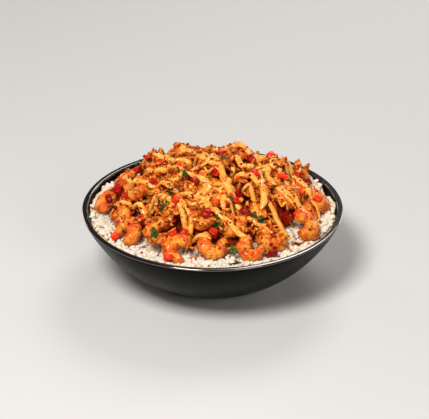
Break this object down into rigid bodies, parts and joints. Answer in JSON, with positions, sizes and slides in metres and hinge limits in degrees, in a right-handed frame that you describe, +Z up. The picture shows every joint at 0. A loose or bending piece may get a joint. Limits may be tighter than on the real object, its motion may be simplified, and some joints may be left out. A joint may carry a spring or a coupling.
{
  "type": "poke bowl",
  "caption": "Round black bowl filled with rice, heaped with curled spiced shrimp, fried onion shreds, diced red pepper, chopped herb and a zigzag of creamy sauce",
  "frame": {"origin": "centre of the bowl's foot, on the surface that it stands on", "axes": "+Z is up, and -Y is the side that faces the camera in the picture"},
  "size_m": [0.2008, 0.2008, 0.099],
  "materials": {
    "bowl": "satin black",
    "rice": "moist cooked rice",
    "onion_mix": "fried onion under creamy sauce",
    "shrimp": "glazed spiced shrimp",
    "pepper": "wet cut pepper"
  },
  "bodies": {
    "root": {"bowl": "bowl", "rice_bed": "rice", "onion_mix": "onion_mix", "shrimp_01": "shrimp", "shrimp_02": "shrimp", "shrimp_03": "shrimp", "shrimp_04": "shrimp", "shrimp_05": "shrimp", "shrimp_06": "shrimp", "shrimp_07": "shrimp", "shrimp_08": "shrimp", "shrimp_09": "shrimp", "shrimp_10": "shrimp", "shrimp_11": "shrimp", "shrimp_12": "shrimp", "shrimp_13": "shrimp", "shrimp_14": "shrimp", "shrimp_15": "shrimp", "shrimp_16": "shrimp", "shrimp_17": "shrimp", "shrimp_18": "shrimp", "shrimp_19": "shrimp", "shrimp_20": "shrimp", "shrimp_21": "shrimp", "shrimp_22": "shrimp", "shrimp_23": "shrimp", "shrimp_24": "shrimp", "shrimp_25": "shrimp", "shrimp_26": "shrimp", "shrimp_27": "shrimp", "shrimp_28": "shrimp", "shrimp_29": "shrimp", "shrimp_30": "shrimp", "shrimp_31": "shrimp", "shrimp_32": "shrimp", "shrimp_33": "shrimp", "shrimp_34": "shrimp", "shrimp_35": "shrimp", "shrimp_36": "shrimp", "shrimp_37": "shrimp", "shrimp_38": "shrimp", "shrimp_39": "shrimp", "shrimp_40": "shrimp", "shrimp_41": "shrimp", "shrimp_42": "shrimp", "shrimp_43": "shrimp", "shrimp_44": "shrimp", "pepper_01": "pepper", "pepper_02": "pepper", "pepper_03": "pepper", "pepper_04": "pepper", "pepper_05": "pepper", "pepper_06": "pepper", "pepper_07": "pepper", "pepper_08": "pepper", "pepper_09": "pepper", "pepper_10": "pepper", "pepper_11": "pepper", "pepper_12": "pepper", "pepper_13": "pepper"}
  },
  "joints": []
}
